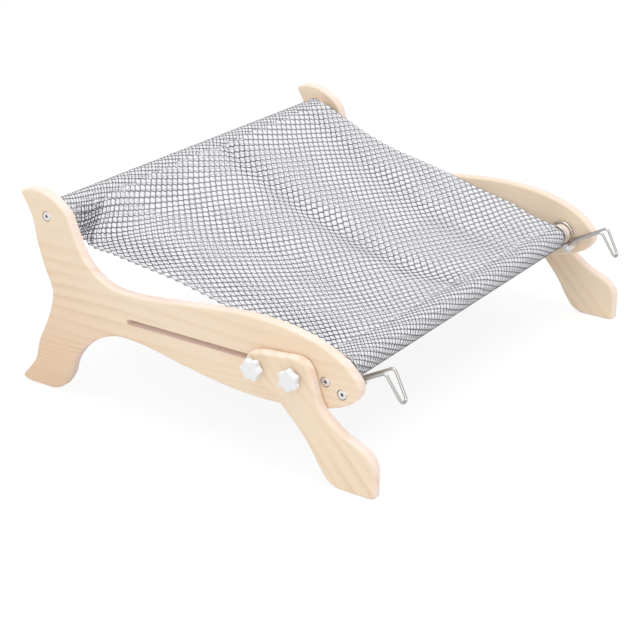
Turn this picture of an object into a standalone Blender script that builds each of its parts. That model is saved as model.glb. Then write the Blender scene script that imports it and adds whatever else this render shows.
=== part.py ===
"""Cat window perch.

Two board side panels carry a mesh sling on two round rails. A leg rides along the slot of each
panel and is clamped by two star knobs. A wire hook swings on each end of the front rail and
rests on a stop pin. Metres, +Z up, rails along X, the window side towards -Y. Along a panel,
places are measured from its nose, and the whole perch is then set back to stand on its centre.
"""
import math

import bmesh
import bpy
from mathutils import Vector

# Side panels
panel_spread = 0.480
panel_board = 0.012
panel_length = 0.412
panel_height = 0.211
edge_round = 0.0028
outline_step = 0.012
seat_gap = 0.0003
cut_overrun = 0.004

# Outline of a side panel, from the nose along the belly, round the foot and the tail, and back
# over the top, as shares of the panel's length and height
panel_outline_shares = [
    (0.000, 0.464), (0.012, 0.403), (0.063, 0.344), (0.209, 0.289), (0.340, 0.289), (0.485, 0.329),
    (0.607, 0.370), (0.692, 0.370), (0.772, 0.294), (0.820, 0.190), (0.840, 0.095), (0.869, 0.026),
    (0.903, 0.000), (0.947, 0.000), (0.981, 0.000), (1.000, 0.021), (0.985, 0.057), (0.954, 0.133),
    (0.937, 0.237), (0.898, 0.389), (0.882, 0.512), (0.903, 0.630), (0.922, 0.758), (0.930, 0.853),
    (0.951, 0.938), (0.961, 0.974), (0.942, 0.995), (0.903, 1.000), (0.859, 0.974), (0.820, 0.915),
    (0.801, 0.829), (0.777, 0.730), (0.738, 0.652), (0.689, 0.611), (0.619, 0.604), (0.510, 0.623),
    (0.388, 0.652), (0.279, 0.665), (0.170, 0.649), (0.083, 0.602), (0.027, 0.536),
]

# Rails and the sockets in their ends
rail_radius = 0.011
rear_rail_shares = (0.883, 0.882)
front_rail_shares = (0.090, 0.455)
insert_radius = 0.0040
insert_length = 0.013
rail_chamfer = 0.0008

# Slot, legs and clamps
slot_height_share = 0.469
slot_setback = 0.025
slot_travel = 0.158
clamp_pitch = 0.041
leg_board = 0.012
leg_reach = 0.0235
leg_end = 0.014
leg_crown = 0.018

# Outline of a leg, from the foot of its front flat up the flat, over the top to the rear end and
# down to the sole, as shares of the leg's length and height
leg_outline_shares = [
    (0.000, 0.017), (0.000, 0.103), (0.000, 0.256), (0.039, 0.346), (0.125, 0.410), (0.231, 0.466),
    (0.324, 0.538), (0.402, 0.624), (0.448, 0.735), (0.477, 0.863), (0.523, 0.966), (0.594, 1.000),
    (0.737, 0.987), (0.900, 0.966), (0.972, 0.932), (1.000, 0.846), (0.968, 0.756), (0.865, 0.709),
    (0.779, 0.641), (0.701, 0.556), (0.594, 0.432), (0.495, 0.286), (0.423, 0.145), (0.359, 0.047),
    (0.274, 0.000), (0.167, 0.000), (0.039, 0.000),
]

# Bolts
shank_radius = 0.0025
thread_gap = 0.0003
head_radius = 0.0047
head_height = 0.0030
head_sunk = 0.0004
head_chamfer = 0.0005
socket_apothem = 0.0015
socket_depth = 0.0018
counterbore_gap = 0.0006
neck_half = 0.0027
neck_gap = 0.0003
neck_length = 0.0040
dome_radius = 0.0060
dome_height = 0.0026
dome_rise_shares = [(0.35, 1.0), (0.75, 0.80), (1.0, 0.38)]
washer_radius = 0.0060
washer_height = 0.0010

# Star knobs
knob_radius = 0.0110
knob_lobe_depth = 0.0012
knob_lobes = 6
knob_hub_radius = 0.0065
knob_hub_height = 0.0032
knob_head_height = 0.0072
knob_round = 0.0014
knob_crown_shares = (0.3, 0.4, 1.4)
knob_insert_radius = 0.0038
knob_insert_length = 0.0070

# Wire hooks and their stop pins
wire_radius = 0.0014
eye_gap = 0.0003
eye_side_gap = 0.0020
strand_gap = 0.0142
tip_gap = 0.0112
strand_length = 0.0482
strand_rise = math.radians(28.2)
strand_offset_share = 0.83
eye_sweep = math.radians(332)
drop_length = 0.0310
drop_turn = math.radians(88)
wire_bend_radius = 0.0040
stop_radius = 0.0032
stop_ahead = 0.0050
stop_overhang = 0.0030
nut_apothem = 0.0040
nut_height = 0.0038

# Mesh sling
cloth_thickness = 0.0010
sleeve_gap = 0.0005
sleeve_side_gap = 0.0005
sling_side_gap = 0.0045
sleeve_seam_reach = 0.026
sleeve_taper = 0.060
seam_gap = 0.0004
edge_width = 0.075
left_droop = 0.0275
right_droop = 0.0110
middle_droop = 0.0210
crease_front = 0.020
crease_rear = 0.050
crease_depth = 0.0045
crease_width = 0.022
ripple_depth = 0.0024
ripple_pitch = 0.105

# How deep the cloth hangs below the line between the rails, at these shares of the way back, as
# shares of the three droops above
droop_place_shares = [0.08, 0.20, 0.32, 0.44, 0.56, 0.68, 0.79, 0.89]
left_droop_shares = [0.04, 0.15, 0.25, 0.32, 0.43, 0.64, 0.84, 1.00]
right_droop_shares = [0.09, 0.50, 0.70, 0.74, 0.86, 1.00, 0.79, 0.36]
middle_droop_shares = [0.38, 0.77, 0.91, 1.00, 0.97, 0.85, 0.69, 0.46]

# Counts
rail_sides = 24
bolt_sides = 18
clamp_sides = 16
knob_sides = 36
cloth_rows = 21
sleeve_steps = 8
wire_resolution = 2
eye_steps = 15
bend_steps = 4
tip_steps = 6
slot_end_steps = 6

# Worked out from the sizes above
panel_face = panel_spread / 2
panel_inner = panel_face - panel_board
leg_face = panel_face + seat_gap + leg_board
rail_half = panel_inner - seat_gap
front_rail = Vector((panel_length * front_rail_shares[0], panel_height * front_rail_shares[1]))
rear_rail = Vector((panel_length * rear_rail_shares[0], panel_height * rear_rail_shares[1]))
slot_height = panel_height * slot_height_share
slot_front = front_rail.x + slot_setback
slot_rear = slot_front + clamp_pitch + slot_travel
slot_half = neck_half + neck_gap
bolt_bore = shank_radius + thread_gap
counterbore = head_radius + counterbore_gap
counterbore_depth = head_height + head_sunk + seat_gap
leg_length = leg_reach + slot_front + clamp_pitch + leg_end
leg_height = slot_height + leg_crown
eye_radius = rail_radius + eye_gap + wire_radius
hook_middle = panel_inner - eye_side_gap - wire_radius - strand_gap / 2
stop_reach = hook_middle - strand_gap / 2 - wire_radius - stop_overhang
sleeve_half = hook_middle - strand_gap / 2 - wire_radius - sleeve_side_gap
sling_half = panel_inner - sling_side_gap
sleeve_radius = rail_radius + sleeve_gap + cloth_thickness / 2

sides = {"left": -1, "right": 1}
ends = {"front": 0.0, "rear": clamp_pitch}


def clear_scene():
    for thing in list(bpy.data.objects):
        bpy.data.objects.remove(thing, do_unlink=True)


def finish(name, color, roughness, metallic=0.0):
    """A plain Principled material."""
    material = bpy.data.materials.new(name)
    material.use_nodes = True
    shader = material.node_tree.nodes["Principled BSDF"]
    shader.inputs["Base Color"].default_value = (*color, 1.0)
    shader.inputs["Roughness"].default_value = roughness
    shader.inputs["Metallic"].default_value = metallic
    material.diffuse_color = (*color, 1.0)
    return material


def empty(name, place, parent=None):
    """A guide that carries other objects."""
    guide = bpy.data.objects.new(name, None)
    guide.location = place
    guide.parent = parent
    bpy.context.scene.collection.objects.link(guide)
    return guide


def solid(name, mesh_data, place, parent, material):
    """An object of that mesh, placed under its parent."""
    thing = bpy.data.objects.new(name, mesh_data)
    thing.location = place
    thing.parent = parent
    thing.data.materials.append(material)
    bpy.context.scene.collection.objects.link(thing)
    return thing


def closed_mesh(name, shape):
    """The mesh of a closed bmesh, with its faces turned outwards."""
    bmesh.ops.recalc_face_normals(shape, faces=shape.faces)
    data = bpy.data.meshes.new(name)
    shape.to_mesh(data)
    shape.free()
    data.shade_smooth()
    data.set_sharp_from_angle(angle=math.radians(35))
    return data


def smooth_loop(points, step):
    """A centripetal Catmull-Rom curve through a closed ring of points, one sample a step."""
    samples = []
    count = len(points)
    for index in range(count):
        around = [points[(index + shift) % count] for shift in (-1, 0, 1, 2)]
        knots = [0.0]
        for here, there in zip(around, around[1:]):
            knots.append(knots[-1] + math.sqrt((there - here).length))
        pieces = max(1, round((around[2] - around[1]).length / step))
        for piece in range(pieces):
            t = knots[1] + (knots[2] - knots[1]) * piece / pieces
            samples.append(spline_point(around, knots, t))
    return samples


def spline_point(around, knots, t):
    """The point at t on the middle stretch of four points with these knots."""
    level = list(around)
    for pairs in (((0, 1), (1, 2), (2, 3)), ((0, 2), (1, 3)), ((1, 2),)):
        shares = [(t - knots[a]) / (knots[b] - knots[a]) for a, b in pairs]
        level = [level[i].lerp(level[i + 1], share) for i, share in enumerate(shares)]
    return level[0]


def round_section(radius):
    return lambda angle: radius


def square_section(half):
    return lambda angle: half / max(abs(math.cos(angle)), abs(math.sin(angle)))


def hex_section(apothem):
    sixth = math.pi / 3
    return lambda angle: apothem / math.cos((angle % sixth) - sixth / 2)


def lobed_section(radius, depth):
    return lambda angle: radius - depth + depth * math.cos(knob_lobes * angle)


def loft(name, levels, side, count=bolt_sides, ring=False):
    """A solid along X whose cross-sections sit at the given distances, mirrored for the left.

    A ring closes its last section onto its first. Anything else is capped at both ends.
    """
    shape = bmesh.new()
    turns = [2 * math.pi * k / count for k in range(count)]
    loops = []
    for along, section in levels:
        loops.append([
            shape.verts.new((side * along, section(a) * math.cos(a), section(a) * math.sin(a))) for a in turns
        ])
    pairs = list(zip(loops, loops[1:]))
    if ring:
        pairs.append((loops[-1], loops[0]))
    for low, high in pairs:
        for k in range(count):
            j = (k + 1) % count
            shape.faces.new((low[k], low[j], high[j], high[k]))
    if not ring:
        shape.faces.new(loops[0])
        shape.faces.new(loops[-1])
    return closed_mesh(name, shape)


def board_mesh(name, outline, thickness, side):
    """A board with that outline, its inner face at X zero, and its long edges rounded."""
    shape = bmesh.new()
    face = shape.faces.new([shape.verts.new((0, point.x, point.y)) for point in outline])
    grown = bmesh.ops.extrude_face_region(shape, geom=[face])["geom"]
    raised = [item for item in grown if isinstance(item, bmesh.types.BMVert)]
    bmesh.ops.translate(shape, verts=raised, vec=(side * thickness, 0, 0))
    bmesh.ops.recalc_face_normals(shape, faces=shape.faces)
    rims = [edge for edge in shape.edges if any(len(f.verts) > 4 for f in edge.link_faces)]
    bmesh.ops.bevel(
        shape, geom=rims, offset=edge_round, segments=2, profile=0.5, affect="EDGES", clamp_overlap=True
    )
    return closed_mesh(name, shape)


def drill(board, name, mesh_data, place):
    """Cuts that mesh out of a board with a hidden cutter."""
    cutter = bpy.data.objects.new(name, mesh_data)
    cutter.location = place
    cutter.parent = board
    cutter.hide_render = True
    cutter.display_type = "WIRE"
    bpy.context.scene.collection.objects.link(cutter)
    cut = board.modifiers.new(name, "BOOLEAN")
    cut.operation = "DIFFERENCE"
    cut.solver = "EXACT"
    cut.object = cutter


def bore_mesh(name, thickness, side, sunk=0.0):
    """A bore right through a board, widened from its outer face down to the sunk depth."""
    levels = [(-cut_overrun, round_section(bolt_bore))]
    if sunk:
        floor = thickness - sunk
        levels += [(floor, round_section(bolt_bore)), (floor, round_section(counterbore))]
    last = counterbore if sunk else bolt_bore
    levels.append((thickness + cut_overrun, round_section(last)))
    return loft(name, levels, side)


def slot_mesh(name, length, side):
    """A round-ended bar along Y, from the slot's front centre, through the board."""
    shape = bmesh.new()
    rim = []
    for centre, first in ((length, -math.pi / 2), (0.0, math.pi / 2)):
        for k in range(slot_end_steps + 1):
            angle = first + math.pi * k / slot_end_steps
            rim.append((centre + slot_half * math.cos(angle), slot_half * math.sin(angle)))
    face = shape.faces.new([shape.verts.new((-side * cut_overrun, y, z)) for y, z in rim])
    grown = bmesh.ops.extrude_face_region(shape, geom=[face])["geom"]
    raised = [item for item in grown if isinstance(item, bmesh.types.BMVert)]
    bmesh.ops.translate(shape, verts=raised, vec=(side * (panel_board + 2 * cut_overrun), 0, 0))
    return closed_mesh(name, shape)


def hook_directions():
    """Unit vectors, in the plane across the rails, along a strand and along its drop."""
    strand = Vector((-math.cos(strand_rise), math.sin(strand_rise)))
    heading = math.pi - strand_rise + drop_turn
    return strand, Vector((math.cos(heading), math.sin(heading)))


def strand_start():
    """Where a strand leaves its eye, from the rail's axis."""
    strand, _ = hook_directions()
    below = Vector((-math.sin(strand_rise), -math.cos(strand_rise)))
    offset = eye_radius * strand_offset_share
    return below * offset + strand * math.sqrt(eye_radius ** 2 - offset ** 2)


def stop_place():
    """The stop pin's axis, just under the strands that rest on it."""
    strand, _ = hook_directions()
    below = Vector((-math.sin(strand_rise), -math.cos(strand_rise)))
    clear = wire_radius + seat_gap + stop_radius
    return front_rail + strand_start() + strand * stop_ahead + below * clear


def rounded_corner(before, corner, after, radius):
    """Points of the arc that rounds a corner."""
    back = (before - corner).normalized()
    ahead = (after - corner).normalized()
    half = math.acos(max(-1.0, min(1.0, back.dot(ahead)))) / 2
    reach = radius / math.tan(half)
    centre = corner + (back + ahead).normalized() * (radius / math.sin(half))
    first = corner + back * reach - centre
    last = corner + ahead * reach - centre
    sweep = first.angle_signed(last)
    points = []
    for k in range(bend_steps + 1):
        turn = -sweep * k / bend_steps
        c, s = math.cos(turn), math.sin(turn)
        points.append(centre + Vector((first.x * c - first.y * s, first.x * s + first.y * c)))
    return points


def strand_path():
    """One side of a hook across the rails, from the eye's free end to where the tip turns."""
    start = strand_start()
    strand, drop = hook_directions()
    leave = math.atan2(start.y, start.x)
    eye = []
    for k in range(eye_steps):
        angle = leave + eye_sweep * (1 - k / eye_steps)
        eye.append(Vector((math.cos(angle), math.sin(angle))) * eye_radius)
    bend = start + strand * strand_length
    tip = bend + drop * (drop_length - tip_gap / 2)
    return eye + [start] + rounded_corner(start, bend, tip, wire_bend_radius) + [tip]


def hook_path():
    """The whole wire, from one eye down its strand, round the tip and back to the other eye. The
    two runs of the drop draw together towards the tip."""
    _, drop = hook_directions()
    side_path = strand_path()
    tip = side_path.pop()
    path = [Vector((-strand_gap / 2, point.x, point.y)) for point in side_path]
    for k in range(tip_steps + 1):
        angle = math.pi * k / tip_steps
        out = tip + drop * (tip_gap / 2 * math.sin(angle))
        path.append(Vector((-tip_gap / 2 * math.cos(angle), out.x, out.y)))
    return path + [Vector((strand_gap / 2, point.x, point.y)) for point in reversed(side_path)]


def wire_object(name, path, place, parent, material):
    """A round wire along the path, with closed ends."""
    curve = bpy.data.curves.new(name, "CURVE")
    curve.dimensions = "3D"
    curve.bevel_depth = wire_radius
    curve.bevel_resolution = wire_resolution
    curve.use_fill_caps = True
    spline = curve.splines.new("POLY")
    spline.points.add(len(path) - 1)
    for point, place_on_path in zip(spline.points, path):
        point.co = (*place_on_path, 1.0)
    return solid(name, curve, place, parent, material)


def setback():
    """How far the nose stands in front of the middle of the perch's footprint."""
    front = front_rail.x + min(point.y for point in hook_path()) - wire_radius
    return (front + panel_length) / 2


def droop(across):
    """How far the cloth hangs below the line between the rails, at each place share."""
    left = math.exp(-((across + sling_half) / edge_width) ** 2)
    right = math.exp(-((across - sling_half) / edge_width) ** 2)
    depths = []
    for place, a, b, c in zip(droop_place_shares, left_droop_shares, right_droop_shares, middle_droop_shares):
        crease = crease_front + (crease_rear - crease_front) * place
        fold = crease_depth * math.exp(-((across - crease) / crease_width) ** 2)
        fold += ripple_depth * (1 - math.cos(2 * math.pi * across / ripple_pitch)) / 2
        depth = left_droop * a * left + right_droop * b * right + middle_droop * c * (1 - left - right)
        depths.append(depth + fold * math.sin(math.pi * place))
    return depths


def span_points(across):
    """Centre line of the cloth between the rails there, from the front rail to the rear one."""
    lift = Vector((0, sleeve_radius))
    start, end = front_rail + lift, rear_rail + lift
    points = []
    for place, depth in zip(droop_place_shares, droop(across)):
        points.append(start.lerp(end, place) - Vector((0, depth)))
    leave = tangent_angle(points[0] - front_rail, 1)
    arrive = tangent_angle(points[-1] - rear_rail, -1)
    return points, leave, arrive


def on_sleeve(centre, angle):
    return centre + Vector((math.cos(angle), math.sin(angle))) * sleeve_radius


def sling_path(across):
    """The cloth's centre line there: lower front sleeve, round the front rail, span, rear sleeve."""
    points, leave, arrive = span_points(across)
    span = [on_sleeve(front_rail, leave)] + points + [on_sleeve(rear_rail, arrive)]
    below = cloth_thickness + seam_gap
    front_seam = along_path(span, sleeve_seam_reach, below)
    front_start = tangent_angle(front_seam - front_rail, -1)
    rear_seam = along_path(list(reversed(span)), sleeve_seam_reach, below)
    rear_stop = tangent_angle(rear_seam - rear_rail, 1) - 2 * math.pi
    path = [front_seam]
    for k in range(sleeve_steps):
        path.append(on_sleeve(front_rail, front_start + (leave - front_start) * k / sleeve_steps))
    path += span
    for k in range(1, sleeve_steps + 1):
        path.append(on_sleeve(rear_rail, arrive + (rear_stop - arrive) * k / sleeve_steps))
    return path + [rear_seam]


def along_path(points, reach, below):
    """The point that far along a run of points, then that far under the cloth there."""
    left = reach
    for here, there in zip(points, points[1:]):
        step = (there - here).length
        if left <= step:
            ahead = (there - here).normalized()
            down = Vector((ahead.y, -ahead.x))
            if down.y > 0:
                down = -down
            return here.lerp(there, left / step) + down * below
        left -= step
    return points[-1]


def tangent_angle(point, turn):
    """Where a straight run to that point leaves a sleeve's round, on one side or the other."""
    spread = math.acos(min(1.0, sleeve_radius / point.length))
    return (math.atan2(point.y, point.x) + turn * spread) % (2 * math.pi)


def half_width(point):
    """The cloth is cut narrower round the front rail, where the hooks' eyes ride on bare rail."""
    past = (point.x - front_rail.x - sleeve_radius) / sleeve_taper
    share = max(0.0, min(1.0, past))
    return sleeve_half + (sling_half - sleeve_half) * share * share * (3 - 2 * share)


def sling_mesh():
    """The cloth as one thick sheet: rows across, each following the sling's path."""
    shape = bmesh.new()
    tops, bottoms = [], []
    for row in range(cloth_rows):
        share = 2 * row / (cloth_rows - 1) - 1
        path = sling_path(share * sling_half)
        top, bottom = [], []
        for k, point in enumerate(path):
            ahead = (path[min(k + 1, len(path) - 1)] - path[max(k - 1, 0)]).normalized()
            away = Vector((-ahead.y, ahead.x)) * (cloth_thickness / 2)
            across = share * half_width(point)
            top.append(shape.verts.new((across, point.x + away.x, point.y + away.y)))
            bottom.append(shape.verts.new((across, point.x - away.x, point.y - away.y)))
        tops.append(top)
        bottoms.append(bottom)
    count = len(tops[0])
    for row in range(cloth_rows - 1):
        for k in range(count - 1):
            for sheet in (tops, bottoms):
                shape.faces.new((sheet[row][k], sheet[row][k + 1], sheet[row + 1][k + 1], sheet[row + 1][k]))
        for k in (0, count - 1):
            shape.faces.new((tops[row][k], tops[row + 1][k], bottoms[row + 1][k], bottoms[row][k]))
    for row in (0, cloth_rows - 1):
        for k in range(count - 1):
            shape.faces.new((tops[row][k], tops[row][k + 1], bottoms[row][k + 1], bottoms[row][k]))
    return closed_mesh("sling", shape)


def outline(shares, length, height, start):
    """An outline table in real size, kept above the floor and behind its own front."""
    corners = [Vector((start + length * along, height * up)) for along, up in shares]
    loop = smooth_loop(corners, outline_step)
    return [Vector((max(point.x, start), max(point.y, 0.0))) for point in loop]


def make_panel(name, side, parent, pine):
    ring = outline(panel_outline_shares, panel_length, panel_height, 0.0)
    board = solid(name, board_mesh(name, ring, panel_board, side), (side * panel_inner, 0, 0), parent, pine)
    run = slot_rear - slot_front + 2 * neck_half
    cutter = name + "_slot"
    drill(board, cutter, slot_mesh(cutter, run, side), (0, slot_front - neck_half, slot_height))
    for label, place in (("front", front_rail), ("rear", rear_rail), ("stop", stop_place())):
        cutter = name + "_" + label + "_bore"
        drill(board, cutter, bore_mesh(cutter, panel_board, side, counterbore_depth), (0, place.x, place.y))
    return board


def make_leg(name, side, parent, pine):
    ring = outline(leg_outline_shares, leg_length, leg_height, -leg_reach)
    board = solid(name, board_mesh(name, ring, leg_board, side), (0, 0, 0), parent, pine)
    for end, offset in ends.items():
        cutter = name + "_" + end + "_bore"
        drill(board, cutter, bore_mesh(cutter, leg_board, side), (0, slot_front + offset, slot_height))
    return board


def bolt_mesh(name, length, side):
    """A socket head bolt: its head's outer face at X zero, its shank running inwards."""
    face = 0.0
    under = -head_height
    levels = [
        (face - socket_depth, hex_section(socket_apothem)),
        (face, hex_section(socket_apothem)),
        (face, round_section(head_radius - head_chamfer)),
        (face - head_chamfer, round_section(head_radius)),
        (under, round_section(head_radius)),
        (under, round_section(shank_radius)),
        (under - length + head_chamfer, round_section(shank_radius)),
        (under - length, round_section(shank_radius - head_chamfer)),
    ]
    return loft(name, levels, side)


def clamp_bolt_mesh(name, length, side):
    """A domed bolt with a square neck: the dome lies against the panel's inner face at X zero."""
    levels = [(-dome_height * rise, round_section(dome_radius * out)) for out, rise in dome_rise_shares]
    levels += [
        (0.0, round_section(dome_radius)),
        (0.0, square_section(neck_half)),
        (neck_length, square_section(neck_half)),
        (neck_length, round_section(shank_radius)),
        (length - head_chamfer, round_section(shank_radius)),
        (length, round_section(shank_radius - head_chamfer)),
    ]
    return loft(name, levels, side, clamp_sides)


def sleeve_mesh(name, inner, outer, length, side):
    """A round tube from X zero outwards."""
    levels = [
        (0.0, round_section(outer)), (length, round_section(outer)),
        (length, round_section(inner)), (0.0, round_section(inner)),
    ]
    return loft(name, levels, side, ring=True)


def nut_mesh(name, side):
    levels = [
        (0.0, hex_section(nut_apothem)), (nut_height, hex_section(nut_apothem)),
        (nut_height, round_section(bolt_bore)), (0.0, round_section(bolt_bore)),
    ]
    return loft(name, levels, side, ring=True)


def rail_mesh(name):
    """A round rail with a socket in each end."""
    socket = insert_radius + seat_gap
    deep = insert_length + 2 * seat_gap
    levels = []
    for end in (-1, 1):
        run = [
            (end * (rail_half - deep), round_section(socket)),
            (end * rail_half, round_section(socket)),
            (end * rail_half, round_section(rail_radius - rail_chamfer)),
            (end * (rail_half - rail_chamfer), round_section(rail_radius)),
        ]
        levels += run if end < 0 else list(reversed(run))
    return loft(name, levels, 1, rail_sides)


def knob_mesh(name, side):
    """A six-lobed star knob on a round hub, with a blind socket from the leg's side."""
    socket = knob_insert_radius + seat_gap
    top = knob_hub_height + knob_head_height
    down, inward, crown = knob_crown_shares
    levels = [
        (knob_insert_length + 2 * seat_gap, round_section(socket)),
        (0.0, round_section(socket)),
        (0.0, round_section(knob_hub_radius)),
        (knob_hub_height, round_section(knob_hub_radius)),
        (knob_hub_height, lobed_section(knob_radius - knob_round / 2, knob_lobe_depth)),
        (knob_hub_height + knob_round / 2, lobed_section(knob_radius, knob_lobe_depth)),
        (top - knob_round, lobed_section(knob_radius, knob_lobe_depth)),
        (top - knob_round * down, lobed_section(knob_radius - knob_round * inward, knob_lobe_depth)),
        (top, lobed_section(knob_radius - knob_round * crown, knob_lobe_depth)),
    ]
    return loft(name, levels, side, knob_sides)


def make_rail_fixings(label, side, parent, steel, brass):
    """The bolt through a panel into each rail, and the insert that it screws into."""
    head_face = panel_face - head_sunk
    length = head_face - head_height - (rail_half - insert_length)
    for rail_name, place in (("front", front_rail), ("rear", rear_rail)):
        name = "rail_bolt_" + rail_name + "_" + label
        solid(name, bolt_mesh(name, length, side), (side * head_face, place.x, place.y), parent, steel)
        name = "rail_insert_" + rail_name + "_" + label
        data = sleeve_mesh(name, bolt_bore, insert_radius, insert_length - seat_gap, side)
        spot = (side * (rail_half - insert_length), place.x, place.y)
        solid(name, data, spot, parent, brass)


def make_stop(label, side, parent, steel):
    """The pin that a hook rests on: a bolt through the nose, its spacer tube and its nut."""
    place = stop_place()
    head_face = panel_face - head_sunk
    tube_start = panel_inner - seat_gap
    nut_start = stop_reach - seat_gap - nut_height
    name = "stop_bolt_" + label
    data = bolt_mesh(name, head_face - head_height - nut_start, side)
    solid(name, data, (side * head_face, place.x, place.y), parent, steel)
    name = "stop_tube_" + label
    data = sleeve_mesh(name, bolt_bore, stop_radius, tube_start - stop_reach, side)
    solid(name, data, (side * stop_reach, place.x, place.y), parent, steel)
    name = "stop_nut_" + label
    solid(name, nut_mesh(name, side), (side * nut_start, place.x, place.y), parent, steel)


def make_clamps(label, side, carrier, steel, brass, white):
    """Both clamps of a leg: bolt, washer, and a knob with its insert on the bolt's axis."""
    dome = panel_inner - seat_gap
    washer = leg_face + seat_gap
    hub = washer + washer_height + seat_gap
    length = hub - dome + knob_insert_length
    for end, offset in ends.items():
        spot = Vector((0, slot_front + offset, slot_height))
        name = "clamp_bolt_" + end + "_" + label
        solid(name, clamp_bolt_mesh(name, length, side), spot + Vector((side * dome, 0, 0)), carrier, steel)
        name = "clamp_washer_" + end + "_" + label
        data = sleeve_mesh(name, bolt_bore, washer_radius, washer_height, side)
        solid(name, data, spot + Vector((side * washer, 0, 0)), carrier, steel)
        axis = empty("knob_axis_" + end + "_" + label, spot + Vector((side * hub, 0, 0)), carrier)
        name = "knob_" + end + "_" + label
        solid(name, knob_mesh(name, side), (0, 0, 0), axis, white)
        name = "knob_insert_" + end + "_" + label
        data = sleeve_mesh(name, bolt_bore, knob_insert_radius, knob_insert_length, side)
        solid(name, data, (0, 0, 0), axis, brass)


def build():
    clear_scene()
    pine = finish("pine", (0.83, 0.68, 0.50), 0.55)
    cloth = finish("mesh_cloth", (0.72, 0.72, 0.77), 0.85)
    steel = finish("bright_steel", (0.74, 0.74, 0.76), 0.28, 1.0)
    brass = finish("insert_brass", (0.72, 0.56, 0.28), 0.35, 1.0)
    white = finish("white_plastic", (0.85, 0.86, 0.88), 0.35)

    perch = empty("perch", (0, -setback(), 0))
    for name, place in (("front_rail", front_rail), ("rear_rail", rear_rail)):
        solid(name, rail_mesh(name), (0, place.x, place.y), perch, pine)
    solid("sling", sling_mesh(), (0, 0, 0), perch, cloth)
    for label, side in sides.items():
        make_panel("side_panel_" + label, side, perch, pine)
        make_rail_fixings(label, side, perch, steel, brass)
        make_stop(label, side, perch, steel)
        carrier = empty("leg_carrier_" + label, (0, 0, 0), perch)
        board = make_leg("leg_" + label, side, carrier, pine)
        board.location = (side * (panel_face + seat_gap), 0, 0)
        make_clamps(label, side, carrier, steel, brass, white)
        spot = (side * hook_middle, front_rail.x, front_rail.y)
        wire_object("hook_" + label, hook_path(), spot, perch, steel)


build()
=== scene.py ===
"""Cat window perch: finished boards, mesh cloth, knobs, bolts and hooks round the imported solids.

Metres, +Z up, rails along X, the window side towards -Y. Places along a panel are measured from
its nose and then set back, as in the part's own source.
"""
import math

import bmesh
import bpy
from mathutils import Matrix, Vector


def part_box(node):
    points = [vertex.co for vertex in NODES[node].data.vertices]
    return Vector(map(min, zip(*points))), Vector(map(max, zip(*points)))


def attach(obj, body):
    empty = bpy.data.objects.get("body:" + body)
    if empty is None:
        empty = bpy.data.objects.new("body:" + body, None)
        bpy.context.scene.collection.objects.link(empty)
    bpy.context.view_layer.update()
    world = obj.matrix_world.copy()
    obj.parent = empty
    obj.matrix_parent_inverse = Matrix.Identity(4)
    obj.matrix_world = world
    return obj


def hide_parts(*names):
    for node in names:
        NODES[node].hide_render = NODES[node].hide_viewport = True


# Sizes, most of them as in the part's source
PANEL_SPREAD = 0.480
PANEL_BOARD = 0.012
PANEL_LENGTH = 0.412
PANEL_HEIGHT = 0.211
SETBACK = 0.18919
SEAT_GAP = 0.0003
RAIL_RADIUS = 0.011
FRONT_RAIL = Vector((PANEL_LENGTH * 0.090, PANEL_HEIGHT * 0.455))
REAR_RAIL = Vector((PANEL_LENGTH * 0.883, PANEL_HEIGHT * 0.882))
SLOT_HEIGHT = PANEL_HEIGHT * 0.469
SLOT_FRONT = FRONT_RAIL.x + 0.025
CLAMP_PITCH = 0.041
SLOT_REAR = SLOT_FRONT + CLAMP_PITCH + 0.158
SLOT_HALF = 0.0030
SLOT_PAST = SLOT_HALF - SEAT_GAP
LEG_BOARD = 0.012
LEG_REACH = 0.0235
LEG_LENGTH = LEG_REACH + SLOT_FRONT + CLAMP_PITCH + 0.014
LEG_HEIGHT = SLOT_HEIGHT + 0.018
PANEL_FACE = PANEL_SPREAD / 2
PANEL_INNER = PANEL_FACE - PANEL_BOARD
LEG_INNER = PANEL_FACE + SEAT_GAP
LEG_FACE = LEG_INNER + LEG_BOARD
OUTLINE_STEP = 0.0035
EDGE_ROUND = 0.0030
RIM_EASE = 0.0004
CUT_PAST = 0.004
BOLT_BORE = 0.0028
HEAD_RADIUS = 0.0047
HEAD_HEIGHT = 0.0030
HEAD_EASE = 0.0008
HEAD_SUNK = 0.0004
HEAD_FACE = PANEL_FACE - HEAD_SUNK
COUNTERBORE = HEAD_RADIUS + 0.0006
SHANK_RADIUS = 0.0025
SHANK_EASE = 0.0005
SOCKET_HALF = 0.00155
SOCKET_DEPTH = 0.0017
SOCKET_EASE = 0.0002
SOCKET_REACH = 0.0017
RAIL_BOLT_REACH = 0.013
WIRE_RADIUS = 0.0014
EYE_RADIUS = RAIL_RADIUS + 0.0003 + WIRE_RADIUS
STRAND_GAP = 0.0142
TIP_GAP = 0.0092
HOOK_MIDDLE = PANEL_INNER - 0.0020 - WIRE_RADIUS - STRAND_GAP / 2
STRAND_LENGTH = 0.0482
STRAND_RISE = math.radians(28.2)
EYE_SWEEP = math.radians(332)
DROP_LENGTH = 0.0310
DROP_HEADING = math.pi - STRAND_RISE + math.radians(88)
BEND_RADIUS = 0.0040
STRAND = Vector((-math.cos(STRAND_RISE), math.sin(STRAND_RISE)))
BELOW = Vector((-math.sin(STRAND_RISE), -math.cos(STRAND_RISE)))
DROP = Vector((math.cos(DROP_HEADING), math.sin(DROP_HEADING)))
EYE_OFFSET = EYE_RADIUS * 0.83
STRAND_START = BELOW * EYE_OFFSET + STRAND * math.sqrt(EYE_RADIUS ** 2 - EYE_OFFSET ** 2)
STOP_RADIUS = 0.0032
STOP_OFFSET = WIRE_RADIUS + SEAT_GAP + STOP_RADIUS
STOP_PLACE = FRONT_RAIL + STRAND_START + STRAND * 0.0050 + BELOW * STOP_OFFSET
KNOB_RADIUS = 0.0110
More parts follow.
